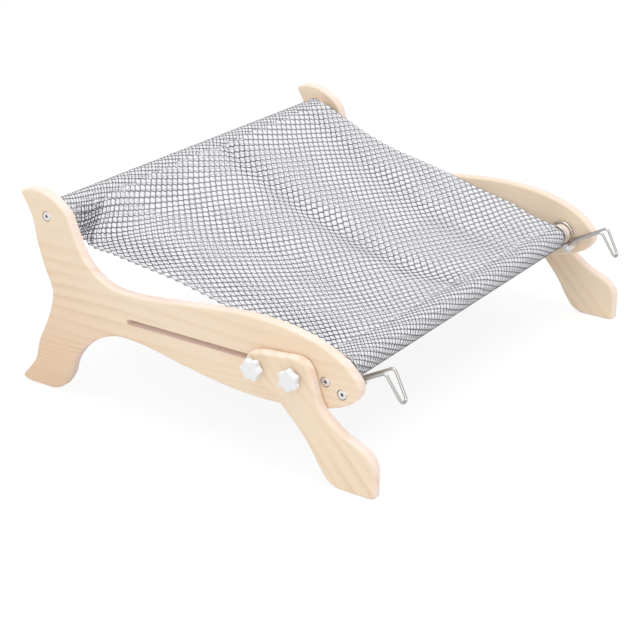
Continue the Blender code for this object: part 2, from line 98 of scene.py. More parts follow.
KNOB_LOBE = 0.0012
KNOB_HUB_RADIUS = 0.0065
KNOB_HUB_HEIGHT = 0.0032
KNOB_HEAD_HEIGHT = 0.0072
KNOB_BORE = 0.0041
KNOB_BORE_DEPTH = 0.0074
HUB_EASE = 0.0004
LOWER_EASE = 0.0010
UPPER_EASE = 0.0014
CROWN_HEIGHT = 0.0005
CROWN = [(0.0002, 0.0032), (0.0, 0.0060)]
WASHER = 0.0010
KNOB_SEAT = LEG_FACE + 2 * SEAT_GAP + WASHER

PANEL_OUTLINE = [
    (0.000, 0.464), (0.012, 0.403), (0.063, 0.344), (0.209, 0.289), (0.340, 0.289), (0.485, 0.329),
    (0.607, 0.370), (0.692, 0.370), (0.772, 0.294), (0.820, 0.190), (0.840, 0.095), (0.869, 0.026),
    (0.903, 0.000), (0.947, 0.000), (0.981, 0.000), (1.000, 0.021), (0.985, 0.057), (0.954, 0.133),
    (0.937, 0.237), (0.898, 0.389), (0.882, 0.512), (0.903, 0.630), (0.922, 0.758), (0.930, 0.853),
    (0.951, 0.938), (0.961, 0.974), (0.942, 0.995), (0.903, 1.000), (0.859, 0.974), (0.820, 0.915),
    (0.801, 0.829), (0.777, 0.730), (0.738, 0.652), (0.689, 0.611), (0.619, 0.604), (0.510, 0.623),
    (0.388, 0.652), (0.279, 0.665), (0.170, 0.649), (0.083, 0.602), (0.027, 0.536),
]
LEG_OUTLINE = [
    (0.000, 0.017), (0.000, 0.103), (0.000, 0.256), (0.039, 0.346), (0.125, 0.410), (0.231, 0.466),
    (0.324, 0.538), (0.402, 0.624), (0.448, 0.735), (0.477, 0.863), (0.523, 0.966), (0.594, 1.000),
    (0.737, 0.987), (0.900, 0.966), (0.972, 0.932), (1.000, 0.846), (0.968, 0.756), (0.865, 0.709),
    (0.779, 0.641), (0.701, 0.556), (0.594, 0.432), (0.495, 0.286), (0.423, 0.145), (0.359, 0.047),
    (0.274, 0.000), (0.167, 0.000), (0.039, 0.000),
]

# The cloth
CLOTH_THICKNESS = 0.0006
SLEEVE_RADIUS = RAIL_RADIUS + 0.0010
SLEEVE_HALF = HOOK_MIDDLE - STRAND_GAP / 2 - WIRE_RADIUS - 0.0005
SLING_HALF = PANEL_INNER - 0.0045
SEAM_REACH = 0.026
SEAM_BELOW = 0.0017
TAPER = 0.060
CLOTH_ROWS = 80
SEAM_STEPS = 5
SLEEVE_STEPS = 24
SPAN_STEPS = 8

# How deep it hangs at its left edge, its right edge and its middle, how far the edges' droop
# reaches, and, for each place between the rails, that place and the share of each of the three
RIGHT_WIDTH = 0.075
LEFT_WIDTH = 0.115
LEFT_DROOP = 0.0275
RIGHT_DROOP = 0.0110
MIDDLE_DROOP = 0.0210
DROOP_SHARES = [
    (0.08, 0.04, 0.09, 0.38), (0.20, 0.15, 0.50, 0.77), (0.32, 0.25, 0.70, 0.91),
    (0.44, 0.32, 0.74, 1.00), (0.56, 0.43, 0.86, 0.97), (0.68, 0.64, 1.00, 0.85),
    (0.79, 0.84, 0.79, 0.69), (0.89, 1.00, 0.36, 0.46),
]

# The crease, and the long folds: their places across at the front and rear rail, reach, strength;
# reach and strength also give the painted shade on the net along each
CREASE_FRONT = 0.012
CREASE_REAR = 0.034
CREASE_WIDTH = 0.020
FOLD_DEPTH = 0.0066
FOLDS = [
    (CREASE_FRONT, CREASE_REAR, 0.028, 0.80), (0.118, 0.190, 0.028, 0.75),
    (0.160, 0.238, 0.020, 0.40), (-0.085, -0.085, 0.032, 0.30), (-0.182, -0.190, 0.044, 0.60),
]
RIPPLES = FOLDS[1:4]
SPAN_START, SPAN_END = 0.070, 0.413
# The puckers: their places between the rails and reach, then depth, offset and width of each line
PUCKERS = [(0.965, 0.060), (0.05, 0.05)]
PUCKER_RELIEF = [(0.0024, 0.003, 0.0070), (-0.0008, -0.010, 0.008)]
# Spots on the cut where the net's thread is darker, with their reach, and how far they fade past
# it: painted shade in the two puckers, and open cells along the left free edge
SPOT_SPREAD = 1.6
PUCKER_SHADE_AND_OPEN_SPOTS = [
    ((0.037, 0.402), 0.018), ((0.030, 0.366), 0.022), ((0.001, 0.136), 0.012),
    ((0.012, 0.112), 0.014), ((0.018, 0.084), 0.014), ((-0.215, 0.365), 0.030),
    ((-0.215, 0.310), 0.030), ((-0.200, 0.120), 0.030),
]

# The cells, how the pull at the left edge narrows and draws them out, and the edges' scallops
CELL_STEP = 0.00645
CELL_SLANT = -0.00245
CELL_PITCH = 0.0087
CELL_SHORT_SIDE = Vector((0.0021, 0.0010))
HEM_CELL_SHARE = 0.66
NET_THREAD = 0.023
HEM_THREAD = 0.070
FRONT_HEM = 0.010
REAR_HEM = 0.007
HEM_SLOPE = -0.027
PULL_WIDTH = 0.130
NARROWING = 0.24
BELL_AREA = 0.886
DRAWN_OUT = 0.0094
GATHER_START = 0.72
GATHERED = 0.018
WOBBLE = 0.0014
SCALLOP_PITCH = 0.00138
SCALLOP_DEPTH = 0.0004
EDGE_PAST = 0.0002

# The photograph's viewpoint, the floor, the room's light, and the lamps with their size and power
LENS = 91.66
SENSOR = 36
CAMERA_PLACE = (-1.32099, -0.69691 - SETBACK, 0.71490)
CAMERA_TILT = math.radians(23.158)
CAMERA_HEADING = math.radians(-55.637)
FLOOR_LEVEL = -0.0004
FLOOR_REACH = 6.0
FLOOR_GLOW = 0.80
ROOM_LIGHT = (1.0, 0.99, 0.98, 1)
ROOM_STRENGTH = 0.74
LAMP_AIM = Vector((0, 0, 0.1))
LAMPS = [
    ("lamp_overhead", (-0.2, -0.3, 2.3), 2.0, 24.0), ("lamp_left", (-2.2, -0.9, 0.9), 1.8, 6.0),
]

# The places of a colour mix's sockets, and where the panels' wood darkens
MIX_FACTOR, MIX_FIRST, MIX_SECOND, MIX_RESULT = 0, 6, 7, 2
HEART = (-0.12, 0.08)

SIDES = {"left": -1, "right": 1}
ENDS = {"front": 0.0, "rear": CLAMP_PITCH}

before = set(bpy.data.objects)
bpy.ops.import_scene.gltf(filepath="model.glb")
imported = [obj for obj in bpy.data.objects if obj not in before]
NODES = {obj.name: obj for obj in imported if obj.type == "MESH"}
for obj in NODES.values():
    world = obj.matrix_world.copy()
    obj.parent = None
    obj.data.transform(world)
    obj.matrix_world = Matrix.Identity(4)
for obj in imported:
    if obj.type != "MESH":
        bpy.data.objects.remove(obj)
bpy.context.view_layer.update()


# Camera, lights and floor
def make_camera():
    """The photograph's own viewpoint."""
    data = bpy.data.cameras.new("camera")
    camera = link("camera", adjusted(data, lens=LENS, sensor_width=SENSOR, clip_start=0.05))
    camera.location = CAMERA_PLACE
    camera.rotation_euler = (math.radians(90) - CAMERA_TILT, 0, CAMERA_HEADING)
    bpy.context.scene.camera = camera


def make_stage():
    """A plain pale floor that keeps a soft shadow, an even pale room and two soft lamps."""
    bpy.context.scene.view_settings.view_transform = "Standard"
    world = bpy.data.worlds.new("pale_room")
    world.use_nodes = True
    tree = world.node_tree
    tree.nodes.clear()
    light = node(tree, "ShaderNodeBackground", ROOM_LIGHT, ROOM_STRENGTH)
    seen = node(tree, "ShaderNodeBackground", (1, 1, 1, 1), 1.0)
    mix = node(tree, "ShaderNodeMixShader", visible_rays(tree), light, seen)
    node(tree, "ShaderNodeOutputWorld", Surface=mix)
    bpy.context.scene.world = world

    mesh = bpy.data.meshes.new("floor")
    square = ((-1, -1), (1, -1), (1, 1), (-1, 1))
    corners = [(FLOOR_REACH * x, FLOOR_REACH * y, FLOOR_LEVEL) for x, y in square]
    mesh.from_pydata(corners, [], [(0, 1, 2, 3)])
    paint, tree, shader = new_material("pale_floor")
    fill(shader, Base_Color=(0.88, 0.88, 0.88, 1), Roughness=0.9, Specular_IOR_Level=0.0)
    glow = node(tree, "ShaderNodeEmission", Strength=1.07)
    mix = node(tree, "ShaderNodeMixShader", visible_rays(tree) * FLOOR_GLOW, Flow(shader), glow)
    fill(tree.nodes["Material Output"], Surface=mix)
    mesh.materials.append(paint)
    link("floor", mesh)

    for name, place, size, power in LAMPS:
        data = bpy.data.lights.new(name, "AREA")
        lamp = link(name, adjusted(data, shape="DISK", size=size, energy=power))
        lamp.location = place
        lamp.rotation_euler = (LAMP_AIM - Vector(place)).to_track_quat("-Z", "Y").to_euler()


def visible_rays(tree):
    """1 for the rays by which the camera, metal and glass see a background, 0 for the rest."""
    path = node(tree, "ShaderNodeLightPath")
    seen = path["Is Camera Ray"].maths("MAXIMUM", path["Is Glossy Ray"])
    return seen.maths("MAXIMUM", path["Is Transmission Ray"])


# Small modelling helpers
def adjusted(thing, **settings):
    """The thing, once it has those settings."""
    for key, value in settings.items():
        setattr(thing, key, value)
    return thing


def link(name, data):
    thing = bpy.data.objects.new(name, data)
    bpy.context.scene.collection.objects.link(thing)
    return thing


def polar(angle, radius):
    return Vector((math.cos(angle), math.sin(angle))) * radius


def mesh_of(shape, name, sharp=35):
    """The closed bmesh as a mesh, faces outwards, smooth but for its real edges."""
    bmesh.ops.recalc_face_normals(shape, faces=shape.faces)
    data = bpy.data.meshes.new(name)
    shape.to_mesh(data)
    shape.free()
    data.shade_smooth()
    data.set_sharp_from_angle(angle=math.radians(sharp))
    return data


def settle(thing):
    """Turns a modelled object's modifiers or curve into plain mesh at the origin."""
    bpy.context.view_layer.update()
    ready = thing.evaluated_get(bpy.context.evaluated_depsgraph_get())
    data = bpy.data.meshes.new_from_object(ready)
    data.transform(thing.matrix_world)
    name = thing.name
    bpy.data.objects.remove(thing)
    data.name = name
    return link(name, data)


def dress(thing, body, finish, slot, *nodes):
    """Gives a piece its finish, its body and the solids that it stands for; the slot argument is
    not used.
    """
    thing.data.materials.clear()
    thing.data.materials.append(finish)
    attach(thing, body)
    if nodes:
        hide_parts(*nodes)


def spline_run(around, step):
    """Samples of a centripetal Catmull-Rom curve between the middle two of four points, without
    its end."""
    knots = [0.0]
    for here, there in zip(around, around[1:]):
        knots.append(knots[-1] + math.sqrt((there - here).length))
    pieces = max(1, round((around[2] - around[1]).length / step))
    run = []
    for piece in range(pieces):
        t = knots[1] + (knots[2] - knots[1]) * piece / pieces
        level = list(around)
        for pairs in (((0, 1), (1, 2), (2, 3)), ((0, 2), (1, 3)), ((1, 2),)):
            shares = [(t - knots[a]) / (knots[b] - knots[a]) for a, b in pairs]
            level = [level[i].lerp(level[i + 1], share) for i, share in enumerate(shares)]
        run.append(level[0])
    return run


def outline(shares, length, height, start):
    """A board's smooth outline through its points, kept off the floor and the front."""
    corners = [Vector((start + length * along, height * up)) for along, up in shares]
    curve = []
    for index in range(len(corners)):
        around = [corners[(index + shift) % len(corners)] for shift in (-1, 0, 1, 2)]
        curve += spline_run(around, OUTLINE_STEP)
    return [Vector((max(p.x, start), max(p.y, 0.0))) for p in curve]


def circle(radius):
    return lambda angle: radius


def hexagon(apothem):
    sixth = math.pi / 3
    return lambda angle: apothem / math.cos((angle % sixth) - sixth / 2)


def star(radius, turn):
    """Six rounded points with wide hollows between them."""
    return lambda angle: radius - 2 * KNOB_LOBE * math.sin(3 * (angle - turn)) ** 2


def turned_piece(name, levels, side, centre, count=48, sharp=35):
    """A closed solid along X from its cross-sections, standing at centre (x, y, z)."""
    shape = bmesh.new()
    x, y, z = centre
    loops = []
    for along, section in levels:
        loop = []
        for k in range(count):
            angle = 2 * math.pi * k / count
            out = section(angle)
            spot = (x + side * along, y + out * math.cos(angle), z + out * math.sin(angle))
            loop.append(shape.verts.new(spot))
        loops.append(loop)
    for low, high in zip(loops, loops[1:]):
        for k in range(count):
            j = (k + 1) % count
            shape.faces.new((low[k], low[j], high[j], high[k]))
    for loop in (loops[0], loops[-1]):
        spots = [v.co for v in loop]
        middle = shape.verts.new(sum(spots, Vector()) / count)
        for k in range(count):
            shape.faces.new((loop[k], loop[(k + 1) % count], middle))
    return link(name, mesh_of(shape, name, sharp))


def rounded(along, radius, edge, steps=4):
    """Levels that round a disc's rim over from its wall to its face."""
    turns = [math.pi / 2 * k / steps for k in range(steps + 1)]
    return [(along + edge * (math.sin(t) - 1), radius - edge * (1 - math.cos(t))) for t in turns]


# Nodes
def arithmetic(operation):
    """A method that takes a flow, and what comes with it, through a maths node."""
    return lambda flow, *others: flow.maths(operation, *others)


class Flow:
    """One output of a node, for arithmetic and links. [label] gives another output of the node."""

    def __init__(self, made, output=0):
        self.made, self.tree = made, made.id_data
        self.socket = made.outputs[output] if made.outputs else None

    def __getitem__(self, output):
        return Flow(self.made, output)

    def maths(self, operation, *others, **settings):
        return node(self.tree, "ShaderNodeMath", self, *others, operation=operation, **settings)

    def __rsub__(self, other):
        return node(self.tree, "ShaderNodeMath", other, self, operation="SUBTRACT")

    __add__ = __radd__ = arithmetic("ADD")
    __sub__ = arithmetic("SUBTRACT")
    __mul__ = arithmetic("MULTIPLY")
    __truediv__ = arithmetic("DIVIDE")
    __abs__ = arithmetic("ABSOLUTE")
    __lt__ = arithmetic("LESS_THAN")
    __gt__ = arithmetic("GREATER_THAN")


def plug(socket, value):
    """Links a flow to an input, or sets the input to a constant. None leaves it as it is."""
    if isinstance(value, Flow):
        value.tree.links.new(value.socket, socket)
    elif value is not None:
        socket.default_value = value


def fill(made, **inputs):
    """Fills a node's inputs by name, with _ for a space."""
    for label, value in inputs.items():
        plug(made.inputs[label.replace("_", " ")], value)


def node(tree, kind, *values, **named):
    """A new node. Its inputs come by place or, in capitals, by name, and its settings by name."""
    settings = {key: value for key, value in named.items() if key[0].islower()}
    made = adjusted(tree.nodes.new(kind), **settings)
    for place, value in enumerate(values):
        plug(made.inputs[place], value)
    fill(made, **{key: value for key, value in named.items() if key not in settings})
    return Flow(made)


def group(name, inputs, outputs, kind="ShaderNodeTree"):
    """A node group with named inputs, some with a default, and named outputs."""
    tree = bpy.data.node_groups.new(name, kind)
    for way, sockets in (("INPUT", inputs), ("OUTPUT", outputs)):
        for label, sort, *default in sockets:
            sort = "NodeSocket" + sort
            socket = tree.interface.new_socket(name=label, in_out=way, socket_type=sort)
            if default:
                socket.default_value = default[0]
    return tree, node(tree, "NodeGroupInput")


def split(value):
    """The three parts of a vector, each a flow."""
    return node(value.tree, "ShaderNodeSeparateXYZ", value)


def vector_maths(value, operation, other, **settings):
    return node(value.tree, "ShaderNodeVectorMath", value, other, operation=operation, **settings)


def noise(vector, scale, detail=2.0, **settings):
    inputs = {"Vector": vector, "Scale": scale, "Detail": detail}
    return node(vector.tree, "ShaderNodeTexNoise", **inputs, **settings)


def blend(tree, factor, first, second):
    """The colour between two others."""
    made = node(tree, "ShaderNodeMix", data_type="RGBA").made
    for place, value in ((MIX_FACTOR, factor), (MIX_FIRST, first), (MIX_SECOND, second)):
        plug(made.inputs[place], value)
    return Flow(made, MIX_RESULT)


def band(value, low, high, first=0.0, last=1.0, kind="SMOOTHSTEP"):
    """value carried from low..high to first..last, held at both ends."""
    numbers = (value, low, high, first, last)
    return node(value.tree, "ShaderNodeMapRange", *numbers, interpolation_type=kind)


def object_place(tree):
    return node(tree, "ShaderNodeTexCoord")["Object"]


def new_material(name):
    """A material with its tree and its main shader."""
    material = bpy.data.materials.new(name)
    material.use_nodes = True
    return material, material.node_tree, material.node_tree.nodes["Principled BSDF"]


def bump(shader, height, strength, distance):
    relief = {"Strength": strength, "Distance": distance, "Height": height}
    fill(shader, Normal=node(shader.id_data, "ShaderNodeBump", **relief))


# Shared shader effects
def grain_group():
    """Pine: broad soft growth lines along the mapped Y axis, fine fibres and a warm drift."""
    inputs = [
        ("Vector", "Vector"), ("Pale", "Color", (0.90, 0.75, 0.58, 1)),
        ("Line", "Color", (0.72, 0.51, 0.31, 1)), ("Lines", "Float", 0.45),
        ("Line Spacing", "Float", 0.012), ("Widening", "Float", 1.0), ("Wander", "Float", 0.060),
        ("Heart", "Float"), ("Edge", "Float"),
    ]
    outputs = [("Color", "Color"), ("Height", "Float"), ("Roughness", "Float")]
    tree, given = group("pine_grain", inputs, outputs)
    place = given["Vector"]
    drift = noise(vector_maths(place, "MULTIPLY", (8, 1.6, 8)), 1.0)
    x, _, z = split(place)
    reach = (z + x * 0.5 + (drift - 0.5) * given["Wander"]) * given["Widening"]
    rings = (reach + 1.0).maths("MAXIMUM", 0.05).maths("LOGARITHM", math.e)
    saw = (rings / (given["Line Spacing"] * given["Widening"])).maths("FRACT")
    ring = band(saw, 0.30, 0.93) * band(saw, 0.93, 1.0, 1.0, 0.0)

    fade = noise(vector_maths(place, "MULTIPLY", (1.5, 0.5, 2.2)), 14.0)
    strength = band(fade, 0.30, 0.60)
    line = ring * strength * (given["Lines"] * (given["Heart"] * 1.1 + 0.50))
    fibre = noise(vector_maths(place, "MULTIPLY", (900, 26, 900)), 1.0, 3.0)
    hair = (fibre - 0.5) * 0.30

    warm = blend(tree, band(drift, 0.3, 0.7), (0.91, 0.77, 0.61, 1), (0.88, 0.71, 0.53, 1))
    body = blend(tree, 0.5, given["Pale"], warm)
    heart = blend(tree, given["Heart"] * 0.75, body, (0.80, 0.57, 0.41, 1))
    rind = blend(tree, given["Edge"] * 0.75, heart, (0.96, 0.80, 0.74, 1))
    color = blend(tree, line.maths("ADD", hair, use_clamp=True), rind, given["Line"])
    roughness = band(fibre, 0.3, 0.7, 0.50, 0.62)
    node(tree, "NodeGroupOutput", Color=color, Height=ring * -0.3 + fibre, Roughness=roughness)
    return tree


def handling_group():
    """Small uneven patches of polish or handling, for any finish."""
    inputs = [("Vector", "Vector"), *((label, "Float") for label in ("Size", "Low", "High"))]
    outputs = [("Roughness", "Float"), ("Mask", "Float")]
    tree, given = group("handling", inputs, outputs)
    cloud = noise(given["Vector"], given["Size"], 3.0)
    roughness = band(cloud, 0.3, 0.7, given["Low"], given["High"], "LINEAR")
    node(tree, "NodeGroupOutput", Roughness=roughness, Mask=cloud)
    return tree


def cells_group():
    """How strongly the far side's net shows through the cloth at each place of its cut."""
    inputs = [("Place", "Vector"), ("Shift", "Float", 0.5)]
    tree, given = group("cloth_cells", inputs, [("Ghost", "Float")])
    slow = noise(given["Place"], 11.0, 1.0)
    x, y, _ = split(given["Place"])
    i = x / CELL_STEP
    j = (y - i * CELL_SLANT) / CELL_PITCH
    slip = band(slow, 0.38, 0.62) * given["Shift"]
    marks = [
        band(abs(along.maths("FRACT") - 0.5), 0.36, 0.48) for along in (i + slip - j, j + slip)
    ]
    node(tree, "NodeGroupOutput", Ghost=marks[0].maths("MAXIMUM", marks[1]))
    return tree


GRAIN = grain_group()
HANDLING = handling_group()
CELLS = cells_group()


# Materials
def opaque(color):
    return (*color, 1)


def pine(name, turn, shift=(0, 0, 0), lines=0.45, spacing=0.012, widening=1.0, heart=None):
    """Pale sanded pine whose growth lines run along Y, turned (in degrees) and shifted by those.
    The board's edge is a little pinker than its faces. Heart is the range over which a board
    gets darker downwards."""
    material, tree, shader = new_material(name)
    place = object_place(tree)
    angles = [math.radians(angle) for angle in turn]
    mapped = node(tree, "ShaderNodeMapping", Vector=place, Location=shift, Rotation=angles)
    facing, _, _ = split(node(tree, "ShaderNodeNewGeometry")["True Normal"])
    grain = node(
        tree, "ShaderNodeGroup", node_tree=GRAIN, Vector=mapped, Lines=lines, Line_Spacing=spacing,
        Widening=widening, Edge=band(abs(facing), 0.35, 0.90, 1.0, 0.0),
    )
    if heart:
        _, y, z = split(place)
        fill(grain.made, Heart=band(y * 0.5 - z, *heart))
    fill(shader, Base_Color=grain["Color"], Roughness=grain["Roughness"], Specular_IOR_Level=0.35)
    bump(shader, grain["Height"], 0.12, 0.0004)
    return material


def handled(tree, size, low, high):
    """The handling effect in a material, with its patches' size and its range of roughness."""
    numbers = {"Vector": object_place(tree), "Size": size, "Low": low, "High": high}
    return node(tree, "ShaderNodeGroup", node_tree=HANDLING, **numbers)


def metal(name, color, low, high, size, edge=None):
    """Bare metal with uneven polish, and edge as its colour where it turns away: a painted dark
    reflection.
    """
    material, tree, shader = new_material(name)
    handling = handled(tree, size, low, high)
    shade = opaque(color)
    if edge:
        # Painted reflection: towards its grazing sides the metal takes the dark edge colour.
        facing = node(tree, "ShaderNodeLayerWeight", Blend=0.50)["Facing"]
        shade = blend(tree, facing, shade, opaque(edge))
    fill(shader, Base_Color=shade, Metallic=1.0, Roughness=handling["Roughness"])
    bump(shader, handling["Mask"], 0.05, 0.0002)
    return material


def moulded(name, color):
    """Smooth plastic with the faint unevenness of moulding."""
    material, tree, shader = new_material(name)
    handling = handled(tree, 180.0, 0.30, 0.42)
    shade = blend(tree, handling["Mask"], opaque(color), opaque(c * 0.96 for c in color))
    fill(shader, Base_Color=shade, Roughness=handling["Roughness"])
    bump(shader, handling["Mask"], 0.08, 0.0003)
    return material


def thread_shade_and_open_share(place):
    """Where on the cut the thread is darker, 0 to 1: painted shade in the puckers and along the
    crease and folds, and open cells along the left free edge.
    """
    x, y, _ = split(place)
    shares = []
    for spot, reach in PUCKER_SHADE_AND_OPEN_SPOTS:
        away = vector_maths(place, "DISTANCE", (*spot, 0.0))["Value"]
        shares.append(band(away, 0.0, SPOT_SPREAD * reach, 1.0, 0.0))
    along = band(y, SPAN_START, SPAN_END)
    for front, rear, reach, strength in FOLDS:
        middle = along * (rear - front) + front
        shares.append(band(abs(x - middle), 0.0, reach, strength, 0.0))
    return sum(shares).maths("MINIMUM", 1.0)


def cloth_fibre(name, color, ghost_color, ghost, roughness=0.9, shade_and_open_color=None):
    """Knitted thread: fine fibres, with the net of the far side showing faintly through. The last
    colour, when given, is the darker thread: painted shade at the puckers and the folds, and the
    thread round the open cells at the left free edge."""
    material, tree, shader = new_material(name)
    place = node(tree, "ShaderNodeUVMap", uv_map="cloth")
    cells = node(tree, "ShaderNodeGroup", node_tree=CELLS, Place=place, Shift=0.55)
    shade = blend(tree, cells * ghost, opaque(color), opaque(ghost_color))
    # Painted shade: the thread darkens in the puckers and along the folds, and also where the cells
    # are open at the left free edge.
    if shade_and_open_color:
        shade = blend(tree, thread_shade_and_open_share(place), shade, opaque(shade_and_open_color))
    fill(shader, Base_Color=shade, Roughness=roughness, Specular_IOR_Level=0.2)
    bump(shader, noise(object_place(tree), 1400.0), 0.35, 0.0003)
    return material


PINE_PANEL = {
    "left": pine("pine_panel_left", (2, 0, 0), (0.02, 0, 0.003), 0.46, 0.0115, 10.0, HEART),
    "right": pine("pine_panel_right", (-3, 0, 0), (0.05, 0.1, 0.011), 0.48, 0.0120, 9.0, HEART),
}
PINE_LEG = {
    "left": pine("pine_leg_left", (-46, 0, 0), (0.3, 0, 0.22), 0.80, 0.0085),
    "right": pine("pine_leg_right", (-46, 0, 0), (0.7, 0.2, 0.25), 0.70, 0.0075),
}
PINE_RAIL = pine("pine_rail", (0, 0, 90), spacing=0.006)
STEEL = metal("bright_steel", (0.78, 0.78, 0.80), 0.20, 0.34, 220.0)
# The wire's near-black edge colour is a painted dark reflection along its sides.
WIRE = metal("polished_wire", (0.62, 0.60, 0.58), 0.12, 0.22, 260.0, (0.05, 0.045, 0.045))
# Painted shade: a darker steel for the inside of the bolts' sockets.
SHADED_SOCKET_STEEL = metal("socket_steel", (0.30, 0.30, 0.32), 0.35, 0.50, 200.0)
BRASS = metal("turned_brass", (0.72, 0.56, 0.28), 0.25, 0.40, 200.0)
WHITE = moulded("white_plastic", (0.86, 0.87, 0.89))
# The net's last colour is painted shade in the puckers and folds, also used at the open cells of
# the left free edge.
NET = cloth_fibre(
    "net_thread", (0.225, 0.225, 0.235), (0.16, 0.16, 0.17), 0.2, 0.75, (0.05, 0.05, 0.06)
)
HEM = cloth_fibre("hem_thread", (0.110, 0.107, 0.110), (0.085, 0.085, 0.09), 0.3, 0.75)
PAD = cloth_fibre("knitted_padding", (0.82, 0.82, 0.86), (0.36, 0.36, 0.39), 0.60)


# Boards
def extruded(ring, inner, thickness, side):
    """A plate of that outline between its inner face and its outer one, as an open bmesh."""
    shape = bmesh.new()
    face = shape.faces.new([shape.verts.new((side * inner, p.x - SETBACK, p.y)) for p in ring])
    grown = bmesh.ops.extrude_face_region(shape, geom=[face])["geom"]
    raised = [item for item in grown if isinstance(item, bmesh.types.BMVert)]
    bmesh.ops.translate(shape, verts=raised, vec=(side * thickness, 0, 0))
    return shape


def board(name, ring, inner, thickness, side, cutters):
    """A board with a rounded edge, its slot and bores cut clean and their rims eased."""
    shape = extruded(ring, inner, thickness, side)
    bmesh.ops.recalc_face_normals(shape, faces=shape.faces)
    rims = [edge for edge in shape.edges if any(len(f.verts) > 4 for f in edge.link_faces)]
    bmesh.ops.bevel(
        shape, geom=rims, offset=EDGE_ROUND, segments=5, profile=0.5, affect="EDGES",
        clamp_overlap=True,
    )
    piece = link(name, mesh_of(shape, name))
    for cutter in cutters:
        cut = piece.modifiers.new(cutter.name, "BOOLEAN")
        adjusted(cut, operation="DIFFERENCE", solver="EXACT", object=cutter)
    ease = piece.modifiers.new("eased rims", "BEVEL")
    limit = {"limit_method": "ANGLE", "angle_limit": math.radians(50)}
    adjusted(ease, width=RIM_EASE, segments=2, **limit)
    adjusted(piece.modifiers.new("flat faces", "WEIGHTED_NORMAL"), keep_sharp=True)
    piece = settle(piece)
    for cutter in cutters:
        bpy.data.objects.remove(cutter)
    return piece


def bore(inner, thickness, side, place, sunk=0.0):
    """A cutter for a bore through a board, wider from its outer face down to the sunk depth."""
    outer, narrow, wide = inner + thickness, circle(BOLT_BORE), circle(COUNTERBORE)
    levels = [(inner - CUT_PAST, narrow)]
    if sunk:
        levels += [(outer - sunk, narrow), (outer - sunk, wide)]
    levels.append((outer + CUT_PAST, wide if sunk else narrow))
    return turned_piece("bore", levels, side, (0, place.x - SETBACK, place.y))


def slot_cutter(side):
    """A round-ended bar through a panel, as long as the clamps' travel."""
    rim = []
    for centre, first in ((SLOT_REAR + SLOT_PAST, -90), (SLOT_FRONT - SLOT_PAST, 90)):
        for k in range(13):
            out = polar(math.radians(first + 180 * k / 12), SLOT_HALF)
            rim.append(Vector((centre, SLOT_HEIGHT)) + out)
    shape = extruded(rim, PANEL_INNER - CUT_PAST, PANEL_BOARD + 2 * CUT_PAST, side)
    return link("slot", mesh_of(shape, "slot"))


def make_boards():
    panel_ring = outline(PANEL_OUTLINE, PANEL_LENGTH, PANEL_HEIGHT, 0.0)
    leg_ring = outline(LEG_OUTLINE, LEG_LENGTH, LEG_HEIGHT, -LEG_REACH)
    sunk = HEAD_HEIGHT + HEAD_SUNK + SEAT_GAP
    clamps = [Vector((SLOT_FRONT + offset, SLOT_HEIGHT)) for offset in ENDS.values()]
    for label, side in SIDES.items():
        panel, leg = "side_panel_" + label, "leg_" + label
        plate = (PANEL_INNER, PANEL_BOARD, side)
        bores = [bore(*plate, place, sunk) for place in (FRONT_RAIL, REAR_RAIL, STOP_PLACE)]
        piece = board("finished_" + panel, panel_ring, *plate, [slot_cutter(side)] + bores)
        dress(piece, "frame", PINE_PANEL[label], "pine", panel)
        plate = (LEG_INNER, LEG_BOARD, side)
        bores = [bore(*plate, place) for place in clamps]
        piece = board("finished_" + leg, leg_ring, *plate, bores)
        dress(piece, "leg_carrier_" + label, PINE_LEG[label], "pine", leg)


# Bolts and knobs
def bolt(name, length, side, place):
    """A bright socket head bolt: a rounded rim, a six-sided socket and a plain shank."""
    socket, mouth = hexagon(SOCKET_HALF), hexagon(SOCKET_HALF + SOCKET_EASE)
    levels = [(-SOCKET_DEPTH, socket), (-SOCKET_EASE, socket), (0.0, mouth)]
    for along, radius in reversed(rounded(0.0, HEAD_RADIUS, HEAD_EASE)):
        levels.append((along, circle(radius)))
    shank, tip = circle(SHANK_RADIUS), circle(SHANK_RADIUS - SHANK_EASE)
    levels += [
        (-HEAD_HEIGHT, circle(HEAD_RADIUS)), (-HEAD_HEIGHT, shank),
        (-HEAD_HEIGHT - length + SHANK_EASE, shank), (-HEAD_HEIGHT - length, tip),
    ]
    return turned_piece(name, levels, side, (side * HEAD_FACE, place.x - SETBACK, place.y), 36)


def paint_socket_shade(piece, side, place):
    """The inside of the six-sided socket takes the darker steel: painted shade in the recess."""
    piece.data.materials.append(SHADED_SOCKET_STEEL)
    for face in piece.data.polygons:
        depth = HEAD_FACE - side * face.center.x
        away = Vector((face.center.y + SETBACK, face.center.z)) - place
        if 0.0001 < depth < HEAD_HEIGHT and away.length < SOCKET_REACH:
            face.material_index = 1


def make_bolts():
    rail_end = PANEL_INNER - SEAT_GAP - RAIL_BOLT_REACH
    for label, side in SIDES.items():
        for name, place, inner in (
            ("rail_bolt_front_", FRONT_RAIL, rail_end), ("rail_bolt_rear_", REAR_RAIL, rail_end),
            ("stop_bolt_", STOP_PLACE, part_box("stop_bolt_right")[0].x),
        ):
            length = HEAD_FACE - HEAD_HEIGHT - inner
            piece = bolt("finished_" + name + label, length, side, place)
            dress(piece, "frame", STEEL, "bright_steel", name + label)
            paint_socket_shade(piece, side, place)


